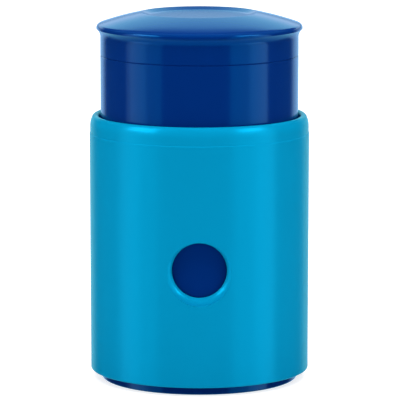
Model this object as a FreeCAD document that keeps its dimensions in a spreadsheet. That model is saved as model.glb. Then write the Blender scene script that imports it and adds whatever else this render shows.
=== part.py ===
import FreeCAD, Part
import math
import os
from types import SimpleNamespace

import Sketcher

# Barrel pencil sharpener: a shavings drum with a domed lid, a wedge cutter in a cradle inside the
# drum, and an outer sleeve that slides up to bring its port in front of the drum's port.
# Millimetres, +Z up, origin at the middle of the drum's foot, ports facing -Y.

SIZES = {
    # Drum
    "drum_top_radius": 17.1,
    "drum_base_radius": 17.0,
    "drum_rise": 56.4,
    "drum_wall": 1.4,
    "drum_floor": 1.6,
    "base_round": 0.3,
    "foot_ring_width": 3.6,
    "foot_recess": 0.4,
    "seam_chamfer": 0.12,
    "mouth_chamfer": 0.3,
    # Sleeve
    "slide_gap": 0.3,
    "sleeve_wall": 1.6,
    "sleeve_draft": 0.09,
    "sleeve_lift": 1.55,
    "sleeve_travel": 13.5,
    "open_gap": 0.54,
    "sleeve_foot_round": 0.3,
    "lip_round": 0.6,
    "rim_round_drop": 2.0,
    "rim_shoulder": 0.32,
    "parting_drop": 3.1,
    "parting_step": 0.03,
    "parting_slope": 0.12,
    # Ports
    "port_radius": 4.67,
    "port_height": 20.04,
    "funnel_flare": 0.83,
    "funnel_drop": 0.49,
    # Key in the sleeve and keyway in the drum
    "key_width": 3.6,
    "key_rise": 6.0,
    "key_height": 8.0,
    "keyway_depth": 0.6,
    "key_gap": 0.15,
    "stop_gap": 0.1,
    # Lid
    "skirt_rise": 3.74,
    "flange_overhang": 0.75,
    "flange_rise": 0.95,
    "flange_root_ease": 0.15,
    "tip_inset": 0.51,
    "tip_crown": 0.71,
    "tip_tuck": 0.04,
    "tip_drop": 0.11,
    "tip_round": 0.75,
    "dome_rise": 2.65,
    "dome_curve": 54.0,
    "dish_radius": 9.9,
    "dish_depth": 0.75,
    "dish_wall_run": 0.9,
    "dish_rim_ease": 0.15,
    "roof_thickness": 1.9,
    "plug_gap": 0.08,
    "plug_wall": 1.3,
    "plug_depth": 5.0,
    "plug_chamfer": 0.4,
    # Cutter
    "guide_radius": 4.4,
    "guide_web": 3.0,
    "corner_wall": 0.4,
    "block_left": 5.8,
    "block_right": 8.2,
    "block_tail_inset": 1.3,
    "block_straight": 7.0,
    "block_below": 5.2,
    "tail_gap": 5.4,
    "bore_radius": 4.1,
    "bore_lead": 1.5,
    "bore_half_angle": 11.75,
    "bore_tip_radius": 0.5,
    "throat_left": 3.2,
    "throat_right": 0.8,
    "throat_front": 2.2,
    "throat_tail": 3.0,
    "blade_width": 6.9,
    "blade_margin": 1.2,
    "blade_thickness": 0.6,
    "blade_grind": 1.6,
    "blade_edge": 0.05,
    "screw_side": 3.9,
    "screw_radius": 1.25,
    "screw_depth": 4.2,
    "screw_head_radius": 2.3,
    "screw_head_rise": 1.1,
    "screw_head_chamfer": 0.25,
    "slot_width": 0.6,
    "slot_depth": 0.55,
    "screw_gap": 0.05,
    # Cradle and the drum's rails for it
    "cradle_wall": 1.8,
    "cradle_floor": 2.6,
    "cradle_grip": 6.2,
    "cradle_side_rise": 2.0,
    "cradle_web_rise": 6.6,
    "block_gap": 0.05,
    "cradle_gap": 0.15,
    "rail_thickness": 1.5,
    "rail_lip": 1.2,
    "post_inset": 2.6,
    "post_thickness": 1.5,
    "post_depth": 5.0,
}

# How far a cut runs on past the faces that it opens
OVERRUN = 0.5

doc = FreeCAD.newDocument("BarrelSharpener")
sheet = doc.addObject("Spreadsheet::Sheet", "Sizes")
for row, (alias, number) in enumerate(SIZES.items(), start=1):
    sheet.set(f"A{row}", alias.replace("_", " "))
    sheet.set(f"B{row}", str(number))
    sheet.setAlias(f"B{row}", alias)
doc.recompute()


class Size:
    """A number from the sheet, or worked out from it, with the formula that gives it."""

    def __init__(self, value, formula):
        self.value = float(value)
        self.formula = formula

    def __add__(self, other):
        other = as_size(other)
        return Size(self.value + other.value, f"({self.formula} + {other.formula})")

    def __sub__(self, other):
        other = as_size(other)
        return Size(self.value - other.value, f"({self.formula} - {other.formula})")

    def __mul__(self, other):
        other = as_size(other)
        return Size(self.value * other.value, f"({self.formula} * {other.formula})")

    def __truediv__(self, other):
        other = as_size(other)
        return Size(self.value / other.value, f"({self.formula} / {other.formula})")

    def __neg__(self):
        return Size(-self.value, f"(-1 * {self.formula})")


def as_size(number):
    return number if isinstance(number, Size) else Size(number, repr(float(number)))


def root(square):
    return Size(math.sqrt(square.value), f"sqrt({square.formula})")


def leg(long_side, short_side):
    """The other short side of a right triangle."""
    return root(long_side * long_side - short_side * short_side)


def largest(first, second):
    return Size(max(first.value, second.value), f"max({first.formula}; {second.formula})")


def smallest(first, second):
    return Size(min(first.value, second.value), f"min({first.formula}; {second.formula})")


def tangent(angle):
    return Size(math.tan(math.radians(angle.value)), f"tan({angle.formula})")


def cosine(angle):
    return Size(math.cos(math.radians(angle.value)), f"cos({angle.formula})")


def bind(feature, path, amount):
    feature.setExpression(path, as_size(amount).formula)


def add_body(name):
    body = doc.addObject("PartDesign::Body", name)
    body.Label = name
    return body


def add_sketch(body, name, plane, shift=(0, 0, 0), tilt=None):
    """A sketch on one of the body's own origin planes, shifted and tilted about its own X."""
    sketch = body.newObject("Sketcher::SketchObject", name)
    support = [item for item in body.Origin.OriginFeatures if item.Role == plane][0]
    sketch.AttachmentSupport = [(support, "")]
    sketch.MapMode = "FlatFace"
    if tilt is not None:
        turn = FreeCAD.Rotation(FreeCAD.Vector(1, 0, 0), tilt.value)
        sketch.AttachmentOffset = FreeCAD.Placement(FreeCAD.Vector(), turn)
        bind(sketch, "AttachmentOffset.Rotation.Angle", tilt)
    for axis, amount in zip("xyz", shift):
        if isinstance(amount, Size):
            bind(sketch, f"AttachmentOffset.Base.{axis}", amount)
    return sketch


def pin_point(sketch, geometry, end, place):
    """Fix one point of a sketch by its distances from the sketch's axes."""
    for kind, axis_line, amount in zip(("DistanceX", "DistanceY"), (-2, -1), place):
        amount = as_size(amount)
        if amount.formula == "0.0":
            sketch.addConstraint(Sketcher.Constraint("PointOnObject", geometry, end, axis_line))
        else:
            index = sketch.addConstraint(Sketcher.Constraint(kind, -1, 1, geometry, end, amount.value))
            bind(sketch, f"Constraints[{index}]", amount)


def arc_curve(start, finish, radius, turn):
    """The arc of under a half circle from start to finish, bending left (1) or right (-1)."""
    chord = finish - start
    across = FreeCAD.Vector(-chord.y, chord.x, 0) / chord.Length
    reach = math.sqrt(max(radius * radius - chord.Length * chord.Length / 4, 0))
    centre = start + chord / 2 + across * reach * turn
    circle = Part.Circle(centre, FreeCAD.Vector(0, 0, 1), radius)
    first, last = (start, finish) if turn > 0 else (finish, start)
    angles = [math.atan2(point.y - centre.y, point.x - centre.x) for point in (first, last)]
    if angles[1] < angles[0]:
        angles[1] += 2 * math.pi
    return Part.ArcOfCircle(circle, angles[0], angles[1])


def draw_outline(sketch, corners, arcs=None):
    """Close a loop through the corners. arcs gives (radius, turn) for the side after a corner."""
    arcs = arcs or {}
    points = [FreeCAD.Vector(as_size(x).value, as_size(y).value, 0) for x, y in corners]
    ends = []
    for index, start in enumerate(points):
        finish = points[(index + 1) % len(points)]
        if index in arcs:
            radius, turn = arcs[index]
            side = sketch.addGeometry(arc_curve(start, finish, radius.value, turn), False)
            ends.append((side, 1, 2) if turn > 0 else (side, 2, 1))
        else:
            side = sketch.addGeometry(Part.LineSegment(start, finish), False)
            ends.append((side, 1, 2))
    for index, corner in enumerate(corners):
        side, first, _ = ends[index]
        previous, _, last = ends[index - 1]
        sketch.addConstraint(Sketcher.Constraint("Coincident", previous, last, side, first))
        pin_point(sketch, side, first, corner)
        if index in arcs:
            radius = arcs[index][0]
            row = sketch.addConstraint(Sketcher.Constraint("Radius", side, radius.value))
            bind(sketch, f"Constraints[{row}]", radius)
    return sketch


def draw_rectangle(sketch, low, high):
    return draw_outline(sketch, [low, (high[0], low[1]), high, (low[0], high[1])])


def draw_circle(sketch, centre, radius):
    place = FreeCAD.Vector(as_size(centre[0]).value, as_size(centre[1]).value, 0)
    circle = sketch.addGeometry(Part.Circle(place, FreeCAD.Vector(0, 0, 1), radius.value), False)
    pin_point(sketch, circle, 3, centre)
    row = sketch.addConstraint(Sketcher.Constraint("Radius", circle, radius.value))
    bind(sketch, f"Constraints[{row}]", radius)
    return sketch


def spin(body, name, sketch, kind="PartDesign::Revolution", axis="V_Axis"):
    feature = body.newObject(kind, name)
    feature.Profile = sketch
    feature.ReferenceAxis = (sketch, [axis])
    feature.Angle = 360
    return feature


def extrude(body, name, sketch, length, kind="PartDesign::Pad", backwards=False):
    feature = body.newObject(kind, name)
    feature.Profile = sketch
    feature.Reversed = backwards
    bind(feature, "Length", length)
    return feature


def cut(body, name, sketch, length, backwards=False):
    return extrude(body, name, sketch, length, "PartDesign::Pocket", backwards)


size = SimpleNamespace(**{alias: Size(sheet.get(alias), f"Sizes.{alias}") for alias in SIZES})


def drum_radius_at(height):
    """The drum's outer radius at a height, on its straight taper."""
    return size.drum_base_radius + (size.drum_top_radius - size.drum_base_radius) * (height / size.drum_rise)


def slimmest(low, high):
    """The drum's smallest outer radius between two heights."""
    return smallest(drum_radius_at(low), drum_radius_at(high))


# Places that several pieces share
sleeve_bore = largest(size.drum_top_radius, size.drum_base_radius) + size.slide_gap
sleeve_radius = sleeve_bore + size.sleeve_wall
sleeve_top = size.drum_rise + size.skirt_rise - size.open_gap - size.sleeve_travel
port_z = size.sleeve_lift + size.port_height
cutter_z = port_z + size.sleeve_travel
funnel_radius = size.port_radius + size.funnel_flare
key_low = size.sleeve_lift + size.key_height
key_high = key_low + size.key_rise + size.sleeve_travel
keyway_floor = slimmest(key_low, key_high) - size.keyway_depth
cradle_low = cutter_z - size.block_below - size.cradle_floor
cradle_side_top = cutter_z + size.cradle_side_rise
cradle_web_top = cutter_z + size.cradle_web_rise
cutter_room = slimmest(cradle_low, cradle_web_top) - size.drum_wall
cradle_front = cutter_room - size.cradle_gap
block_side = largest(size.block_left, size.block_right) + size.block_gap
block_corner = leg(cradle_front - size.corner_wall, block_side)
block_front = -smallest(cradle_front - size.guide_web, block_corner)
block_length = cutter_room - size.tail_gap - block_front
cradle_back = block_front + size.cradle_grip
cradle_left = -(size.block_left + size.block_gap + size.cradle_wall)
cradle_right = size.block_right + size.block_gap + size.cradle_wall
slope = tangent(size.bore_half_angle)
slope_length = cosine(size.bore_half_angle)
seat_at_front = size.bore_radius + size.bore_lead * slope
blade_length = (block_length - size.blade_margin * 2) / slope_length


def make_drum():
    """Drum: a drafted cup with the pencil port, a keyway behind and rails for the cradle inside."""
    body = add_body("drum")
    top = size.drum_rise
    foot_inner = size.drum_base_radius - size.foot_ring_width
    profile = add_sketch(body, "drum_profile", "XZ_Plane")
    draw_outline(
        profile,
        [
            (0, size.foot_recess),
            (foot_inner - size.foot_recess, size.foot_recess),
            (foot_inner, 0),
            (size.drum_base_radius - size.base_round, 0),
            (size.drum_base_radius, size.base_round),
            (size.drum_top_radius, top - size.seam_chamfer),
            (size.drum_top_radius - size.seam_chamfer, top),
            (size.drum_top_radius - size.drum_wall + size.mouth_chamfer, top),
            (size.drum_top_radius - size.drum_wall, top - size.mouth_chamfer),
            (size.drum_base_radius - size.drum_wall, size.drum_floor),
            (0, size.drum_floor),
        ],
        {3: (size.base_round, 1)},
    )
    spin(body, "drum_cup", profile)

    port = draw_circle(add_sketch(body, "drum_port_circle", "XZ_Plane"), (0, cutter_z), size.port_radius)
    cut(body, "drum_port", port, size.drum_top_radius + OVERRUN, backwards=True)

    keyway = add_sketch(body, "keyway_outline", "XZ_Plane", (0, 0, -keyway_floor))
    half = size.key_width / 2 + size.key_gap
    draw_rectangle(
        keyway,
        (-half, key_low - size.stop_gap),
        (half, key_high + size.stop_gap),
    )
    cut(body, "keyway", keyway, sleeve_bore - keyway_floor)

    start = size.drum_floor / 2
    wall_middle = slimmest(start, cradle_side_top) - size.drum_wall / 2
    lip_face = cradle_back + size.cradle_gap
    rail_end = lip_face + size.rail_lip
    for side, name in ((cradle_right, "right"), (cradle_left, "left")):
        way = 1 if side.value > 0 else -1
        inner = side + size.cradle_gap * way
        outer = inner + size.rail_thickness * way
        lip = side - size.rail_lip * way
        rail = draw_outline(
            add_sketch(body, f"{name}_rail_plan", "XY_Plane", (0, 0, start)),
            [
                (inner, -leg(wall_middle, inner)),
                (outer, -leg(wall_middle, outer)),
                (outer, rail_end),
                (lip, rail_end),
                (lip, lip_face),
                (inner, lip_face),
            ],
        )
        extrude(body, f"{name}_rail", rail, cradle_side_top - start)
        near = side - size.post_inset * way
        far = near - size.post_thickness * way
        post = draw_outline(
            add_sketch(body, f"{name}_post_plan", "XY_Plane", (0, 0, start)),
            [
                (near, -leg(wall_middle, near)),
                (far, -leg(wall_middle, far)),
                (far, -leg(wall_middle, far) + size.post_depth),
                (near, -leg(wall_middle, far) + size.post_depth),
            ],
        )
        extrude(body, f"{name}_post", post, cradle_low - start)
    return body


def make_sleeve():
    """Sleeve: a plain tube with a big soft rim, the flared port and a key inside at the back."""
    body = add_body("outer_sleeve")
    foot_radius = sleeve_radius - size.sleeve_draft
    upper_radius = sleeve_radius - size.parting_step
    crest = sleeve_bore + size.lip_round
    reach = upper_radius - crest
    tip = reach - size.rim_shoulder
    rise = size.rim_round_drop - tip
    flank = (reach * reach + rise * rise - tip * tip) / (size.rim_shoulder * 2)
    share = flank / (flank - tip)
    blend = (
        upper_radius - flank + (flank - reach) * share,
        sleeve_top - size.rim_round_drop + rise * share,
    )
    low = size.sleeve_lift
    parting = sleeve_top - size.parting_drop
    profile = add_sketch(body, "sleeve_profile", "XZ_Plane")
    draw_outline(
        profile,
        [
            (sleeve_bore, low + size.sleeve_foot_round),
            (sleeve_bore + size.sleeve_foot_round, low),
            (foot_radius - size.sleeve_foot_round, low),
            (foot_radius, low + size.sleeve_foot_round),
            (sleeve_radius, parting - size.parting_slope),
            (upper_radius, parting),
            (upper_radius, sleeve_top - size.rim_round_drop),
            blend,
            (crest, sleeve_top),
            (sleeve_bore, sleeve_top - size.lip_round),
        ],
        {
            2: (size.sleeve_foot_round, 1),
            6: (flank, 1),
            7: (tip, 1),
            8: (size.lip_round, 1),
        },
    )
    spin(body, "sleeve_tube", profile)

    port = draw_circle(add_sketch(body, "sleeve_port_circle", "XZ_Plane"), (0, port_z), size.port_radius)
    cut(body, "sleeve_port", port, sleeve_radius + OVERRUN, backwards=True)
    mouth_depth = leg(sleeve_radius, funnel_radius)
    mouth_z = port_z - size.funnel_drop
    throat = add_sketch(body, "funnel_throat", "XZ_Plane", (0, 0, sleeve_bore))
    draw_circle(throat, (0, port_z), size.port_radius)
    mouth = add_sketch(body, "funnel_mouth", "XZ_Plane", (0, 0, mouth_depth))
    draw_circle(mouth, (0, mouth_z), funnel_radius)
    funnel = body.newObject("PartDesign::SubtractiveLoft", "funnel")
    funnel.Profile = throat
    funnel.Sections = [mouth]
    counterbore = add_sketch(body, "funnel_counterbore", "XZ_Plane", (0, 0, mouth_depth))
    draw_circle(counterbore, (0, mouth_z), funnel_radius)
    cut(body, "funnel_rim", counterbore, sleeve_radius - mouth_depth + OVERRUN, backwards=True)

    key = add_sketch(body, "key_plan", "XY_Plane", (0, 0, key_low))
    draw_rectangle(
        key,
        (-size.key_width / 2, keyway_floor + size.key_gap),
        (size.key_width / 2, sleeve_bore + size.sleeve_wall / 2),
    )
    extrude(body, "key", key, size.key_rise)
    return body


def make_cap():
    """Lid: a dished dome with a flared flange, a skirt flush with the drum and a plug inside it."""
    body = add_body("cap")
    seam = size.drum_rise
    skirt = size.drum_top_radius
    flange = skirt + size.flange_overhang
    flange_z = seam + size.skirt_rise + size.flange_rise
    rim_z = flange_z + size.dome_rise
    floor_z = rim_z - size.dish_depth
    plug_low = seam - size.plug_depth
    plug = slimmest(plug_low, seam) - size.drum_wall - size.plug_gap
    roof_z = floor_z - size.roof_thickness
    root_z = seam + size.skirt_rise
    flare_run = size.flange_overhang - size.tip_tuck
    flare_rise = size.flange_rise - size.tip_drop
    flare = root(flare_run * flare_run + flare_rise * flare_rise)
    root_curve = size.flange_root_ease * (flare + flare_rise) / flare_run
    root_share = size.flange_root_ease / flare
    profile = add_sketch(body, "cap_profile", "XZ_Plane")
    draw_outline(
        profile,
        [
            (0, roof_z),
            (plug - size.plug_wall, roof_z),
            (plug - size.plug_wall, plug_low),
            (plug - size.plug_chamfer, plug_low),
            (plug, plug_low + size.plug_chamfer),
            (plug, seam),
            (skirt - size.seam_chamfer, seam),
            (skirt, seam + size.seam_chamfer),
            (skirt, root_z - size.flange_root_ease),
            (skirt + flare_run * root_share, root_z + flare_rise * root_share),
            (flange - size.tip_tuck, flange_z - size.tip_drop),
            (flange - size.tip_inset, flange_z + size.tip_crown),
            (size.dish_radius + size.dish_rim_ease, rim_z),
            (size.dish_radius - size.dish_rim_ease, rim_z - size.dish_rim_ease),
            (size.dish_radius - size.dish_wall_run, floor_z),
            (0, floor_z),
        ],
        {
            8: (root_curve, -1),
            10: (size.tip_round, 1),
            11: (size.dome_curve, 1),
            12: (size.dish_rim_ease * 2, 1),
        },
    )
    spin(body, "cap_shell", profile)
    return body


def make_cradle():
    """Cradle: a trough with a front web that follows the drum's wall and guides the pencil."""
    body = add_body("cutter_cradle")
    rise = cradle_side_top - cradle_low
    plan = draw_outline(
        add_sketch(body, "cradle_plan", "XY_Plane", (0, 0, cradle_low)),
        [
            (cradle_left, -leg(cradle_front, cradle_left)),
            (cradle_right, -leg(cradle_front, cradle_right)),
            (cradle_right, cradle_back),
            (cradle_left, cradle_back),
        ],
        {0: (cradle_front, 1)},
    )
    extrude(body, "cradle_trough", plan, rise)

    left = -(size.block_left + size.block_gap)
    right = size.block_right + size.block_gap
    web = draw_outline(
        add_sketch(body, "web_plan", "XY_Plane", (0, 0, cradle_low)),
        [
            (left, -leg(cradle_front, left)),
            (right, -leg(cradle_front, right)),
            (right, block_front),
            (left, block_front),
        ],
        {0: (cradle_front, 1)},
    )
    extrude(body, "guide_web", web, cradle_web_top - cradle_low)

    seat = add_sketch(body, "block_seat_plan", "XY_Plane", (0, 0, cradle_side_top))
    draw_rectangle(seat, (left, block_front), (right, cradle_back + OVERRUN))
    cut(body, "block_seat", seat, size.cradle_side_rise + size.block_below)

    guide = draw_circle(add_sketch(body, "guide_circle", "XZ_Plane"), (0, cutter_z), size.guide_radius)
    cut(body, "guide_bore", guide, size.drum_top_radius, backwards=True)
    return body


def make_block():
    """Sharpener block: a metal wedge with a conical bore, a throat for shavings and a blade seat."""
    body = add_body("sharpener_block")
    tail = block_front + block_length
    low = cutter_z - size.block_below
    plan = draw_outline(
        add_sketch(body, "block_plan", "XY_Plane", (0, 0, low)),
        [
            (-size.block_left, block_front),
            (size.block_right, block_front),
            (size.block_right, block_front + size.block_straight),
            (size.block_right - size.block_tail_inset, tail),
            (size.block_tail_inset - size.block_left, tail),
            (-size.block_left, block_front + size.block_straight),
        ],
    )
    height = size.block_below + seat_at_front + OVERRUN
    extrude(body, "block_blank", plan, height)

    top = draw_outline(
        add_sketch(body, "seat_slope", "YZ_Plane", (0, 0, -(size.block_left + OVERRUN))),
        [
            (block_front - OVERRUN, cutter_z + seat_at_front + slope * OVERRUN),
            (tail + OVERRUN, cutter_z + seat_at_front - (block_length + OVERRUN) * slope),
            (tail + OVERRUN, cutter_z + seat_at_front + OVERRUN * 2),
            (block_front - OVERRUN, cutter_z + seat_at_front + OVERRUN * 2),
        ],
    )
    cut(body, "blade_seat", top, size.block_left + size.block_right + OVERRUN * 2, backwards=True)

    cone_length = (size.bore_radius - size.bore_tip_radius) / slope
    bore = draw_outline(
        add_sketch(body, "bore_profile", "YZ_Plane", (0, cutter_z, 0)),
        [
            (block_front - OVERRUN, 0),
            (tail + OVERRUN, 0),
            (tail + OVERRUN, size.bore_tip_radius),
            (block_front + size.bore_lead + cone_length, size.bore_tip_radius),
            (block_front + size.bore_lead, size.bore_radius),
            (block_front - OVERRUN, size.bore_radius),
        ],
    )
    spin(body, "pencil_bore", bore, "PartDesign::Groove", "H_Axis")

    throat = add_sketch(body, "throat_plan", "XY_Plane", (0, 0, cutter_z + seat_at_front))
    draw_rectangle(
        throat,
        (-size.throat_left, block_front + size.throat_front),
        (size.throat_right, tail - size.throat_tail),
    )
    cut(body, "shavings_throat", throat, seat_at_front)

    hole = add_sketch(body, "screw_hole_circle", "XY_Plane", blade_origin(), -size.bore_half_angle)
    draw_circle(hole, (size.screw_side, blade_length / 2), size.screw_radius + size.screw_gap)
    cut(body, "screw_hole", hole, size.screw_depth + size.screw_gap)
    return body


def blade_origin():
    """Front corner of the blade's cutting edge, on the wedge's sloping seat."""
    seat_z = cutter_z + seat_at_front - size.blade_margin * slope
    return (as_size(0), block_front + size.blade_margin, seat_z)


def lay_on_seat(body):
    """Place a piece that is drawn flat onto the wedge's sloping seat."""
    origin = blade_origin()
    turn = FreeCAD.Rotation(FreeCAD.Vector(1, 0, 0), -size.bore_half_angle.value)
    body.Placement = FreeCAD.Placement(FreeCAD.Vector(*[part.value for part in origin]), turn)
    for axis, amount in zip("xyz", origin):
        bind(body, f"Placement.Base.{axis}", amount)
    bind(body, "Placement.Rotation.Angle", -size.bore_half_angle)


def make_blade():
    """Blade: a flat strip with one ground edge and a hole for its screw."""
    body = add_body("blade")
    section = draw_outline(
        add_sketch(body, "blade_section", "XZ_Plane"),
        [
            (0, 0),
            (size.blade_width, 0),
            (size.blade_width, size.blade_thickness),
            (size.blade_grind, size.blade_thickness),
            (0, size.blade_edge),
        ],
    )
    extrude(body, "blade_strip", section, blade_length, backwards=True)
    hole = add_sketch(body, "blade_hole_circle", "XY_Plane", (0, 0, size.blade_thickness))
    draw_circle(hole, (size.screw_side, blade_length / 2), size.screw_radius + size.screw_gap * 2)
    cut(body, "blade_hole", hole, size.blade_thickness)
    lay_on_seat(body)
    return body


def make_screw():
    """Screw: a slotted round head on the blade and a plain shank down into the wedge."""
    body = add_body("blade_screw")
    head_low = size.blade_thickness
    head_top = head_low + size.screw_head_rise
    profile = draw_outline(
        add_sketch(body, "screw_profile", "YZ_Plane", (blade_length / 2, 0, size.screw_side)),
        [
            (0, -size.screw_depth),
            (size.screw_radius - size.screw_head_chamfer, -size.screw_depth),
            (size.screw_radius, size.screw_head_chamfer - size.screw_depth),
            (size.screw_radius, head_low),
            (size.screw_head_radius, head_low),
            (size.screw_head_radius, head_top - size.screw_head_chamfer),
            (size.screw_head_radius - size.screw_head_chamfer, head_top),
            (0, head_top),
        ],
    )
    spin(body, "screw_turned", profile)
    slot = add_sketch(body, "slot_plan", "XY_Plane", (size.screw_side, blade_length / 2, head_top))
    draw_rectangle(
        slot,
        (-size.screw_head_radius, -size.slot_width / 2),
        (size.screw_head_radius, size.slot_width / 2),
    )
    cut(body, "slot", slot, size.slot_depth)
    lay_on_seat(body)
    return body


pieces = [
    make_drum(),
    make_sleeve(),
    make_cap(),
    make_cradle(),
    make_block(),
    make_blade(),
    make_screw(),
]
doc.recompute()

for item in doc.Objects:
    faults = {"Invalid", "Error"} & set(item.State)
    if faults:
        raise RuntimeError(f"{item.Label} did not build: {sorted(faults)}")
for piece in pieces:
    if piece.Shape.isNull() or not piece.Shape.isValid() or len(piece.Shape.Solids) != 1:
        raise RuntimeError(f"{piece.Label} is not one valid solid")

os.makedirs("parts", exist_ok=True)
for piece in pieces:
    piece.Shape.exportStep(f"parts/{piece.Label}.step")
    box = piece.Shape.BoundBox
    print(
        f"{piece.Label}: volume {piece.Shape.Volume:.1f} mm3,",
        f"x {box.XMin:.2f}..{box.XMax:.2f}, y {box.YMin:.2f}..{box.YMax:.2f},",
        f"z {box.ZMin:.2f}..{box.ZMax:.2f}",
    )
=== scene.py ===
# %% [markdown]
# # A barrel pencil sharpener, dressed for its portrait
#
# The sharpener is a dark blue drum with a domed lid and a light blue sleeve that slides on it.
# Its solids come from the CAD model, already in place and in metres. We start by loading them
# as a fixed frame, and we note their box, because nothing that we model may leave it.

# %% Load the frame
import math

import bpy
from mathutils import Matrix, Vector


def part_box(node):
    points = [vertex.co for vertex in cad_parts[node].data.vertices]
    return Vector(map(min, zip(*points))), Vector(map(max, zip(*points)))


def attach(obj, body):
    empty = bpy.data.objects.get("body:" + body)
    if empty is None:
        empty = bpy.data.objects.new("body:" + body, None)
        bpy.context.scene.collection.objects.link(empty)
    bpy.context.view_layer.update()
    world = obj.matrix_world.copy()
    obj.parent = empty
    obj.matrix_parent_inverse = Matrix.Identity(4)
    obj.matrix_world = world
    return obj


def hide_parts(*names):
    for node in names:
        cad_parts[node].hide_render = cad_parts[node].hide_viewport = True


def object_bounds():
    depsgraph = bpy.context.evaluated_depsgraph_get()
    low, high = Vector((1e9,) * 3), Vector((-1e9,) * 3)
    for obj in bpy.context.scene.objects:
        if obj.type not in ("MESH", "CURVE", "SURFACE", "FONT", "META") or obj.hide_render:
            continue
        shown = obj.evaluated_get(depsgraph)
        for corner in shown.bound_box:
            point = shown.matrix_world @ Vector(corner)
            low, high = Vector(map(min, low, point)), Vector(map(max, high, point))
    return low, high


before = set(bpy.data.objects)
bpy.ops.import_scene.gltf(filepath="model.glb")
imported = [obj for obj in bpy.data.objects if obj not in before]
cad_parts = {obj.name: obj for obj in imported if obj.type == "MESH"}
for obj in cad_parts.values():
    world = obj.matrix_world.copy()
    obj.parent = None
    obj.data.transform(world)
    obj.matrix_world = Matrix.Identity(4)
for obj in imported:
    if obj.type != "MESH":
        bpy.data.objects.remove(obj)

cad_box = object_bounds()
MM = 0.001
print("nodes:", sorted(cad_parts))
print("CAD box in mm:", [[round(v / MM, 2) for v in corner] for corner in cad_box])

# %% [markdown]
# ## The camera
#
# The picture was taken with a long lens from a little above the rim. Ellipses give that away:
# the rim's ellipse and the foot's ellipse are almost equally open, so the camera stood far off.
# A short lens close by could frame the object too, but it would open the two ellipses unequally.
# So we put a long lens at that distance and tip it down by the same angle.

# %% Camera
CAMERA_ASIDE = 0.1 * MM
CAMERA_BACK = 613.2 * MM
CAMERA_UP = 127.0 * MM
CAMERA_TIP = math.radians(8.90)
CAMERA_LENS = 321.75
CAMERA_CLIP = 0.01
SENSOR_WIDTH = 36


def deselect():
    """Leave nothing selected, because an operator acts on all that is."""
    bpy.ops.object.select_all(action="DESELECT")


deselect()
bpy.ops.object.camera_add(
    location=(CAMERA_ASIDE, -CAMERA_BACK, CAMERA_UP),
    rotation=(math.pi / 2 - CAMERA_TIP, 0, 0),
)
camera = bpy.context.object
camera.name = "portrait_camera"
camera.data.lens = CAMERA_LENS
camera.data.sensor_width = SENSOR_WIDTH
camera.data.clip_start = CAMERA_CLIP
bpy.context.scene.camera = camera
bpy.context.scene.view_settings.view_transform = "Standard"
print("camera lens", camera.data.lens, "mm at", round(CAMERA_BACK, 3), "m")

# %% [markdown]
# ## Node tools
#
# The floor, the world and every finish are trees of nodes. By hand one would drag them about in
# the shader editor, but a script has to say each node and each link. These short helpers say
# what comes back in every tree, so that the later cells can speak of floors and finishes only.

# %% Node tools


def link(tree, source, target):
    tree.links.new(source, target)


def new_node(tree, kind, **settings):
    """Add a shader node and set its plain properties."""
    node = tree.nodes.new(kind)
    for key, value in settings.items():
        setattr(node, key, value)
    return node


def new_material(name):
    """A material with an empty tree but for its output."""
    material = bpy.data.materials.new(name)
    material.use_nodes = True
    material.node_tree.nodes.clear()
    output = material.node_tree.nodes.new("ShaderNodeOutputMaterial")
    return material, material.node_tree, output


# %% Arithmetic on sockets


def ramp(tree, value, start, finish, low=0.0, high=1.0):
    """A soft step from one level to another, between two values."""
    step = new_node(tree, "ShaderNodeMapRange", interpolation_type="SMOOTHSTEP")
    limits = {"From Min": start, "From Max": finish, "To Min": low, "To Max": high}
    for name, limit in limits.items():
        step.inputs[name].default_value = limit
    link(tree, value, step.inputs["Value"])
    return step.outputs["Result"]


def multiply(tree, first, second):
    product = new_node(tree, "ShaderNodeMath", operation="MULTIPLY")
    link(tree, first, product.inputs[0])
    link(tree, second, product.inputs[1])
    return product.outputs[0]


def multiply_add(tree, value, factor, addend):
    """A value times a plain number, plus another value."""
    total = new_node(tree, "ShaderNodeMath", operation="MULTIPLY_ADD")
    link(tree, value, total.inputs[0])
    total.inputs[1].default_value = factor
    link(tree, addend, total.inputs[2])
    return total.outputs[0]


def ray_kinds(tree):
    """The masks of all kinds of rays, and one mask for rays that look straight or through glass."""
    light_path = new_node(tree, "ShaderNodeLightPath")
    straight = new_node(tree, "ShaderNodeMath", operation="MAXIMUM")
    link(tree, light_path.outputs["Is Camera Ray"], straight.inputs[0])
    link(tree, light_path.outputs["Is Transmission Ray"], straight.inputs[1])
    return light_path.outputs, straight.outputs[0]


# %% [markdown]
# ## The floor
#
# The object stands on a plain white table. Lamps could light a table until it is white, but they
# would light the object too strongly as well. So the floor is matt and pale, takes the soft
# shadow of the foot, and glows only for rays that come straight from the camera, a little less
# near the object, where the shadow has to show. Rays that light the plastic find a faint glow
# there too, which stands for the light that a table throws back from below.

# %% Floor
FLOOR_SIZE = 6.0
FLOOR_ALBEDO = 0.55
GLOW_NEAR, GLOW_FAR = 0.78, 1.0
NEAR_REACH, FAR_REACH = 0.12, 0.40
TABLE_BOUNCE = 0.22
BOUNCE_NEAR, BOUNCE_FAR = 0.020, 0.040

deselect()
bpy.ops.mesh.primitive_plane_add(size=FLOOR_SIZE, location=(0, 0, 0))
floor = bpy.context.object
floor.name = "studio_floor"
floor.visible_glossy = False

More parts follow.
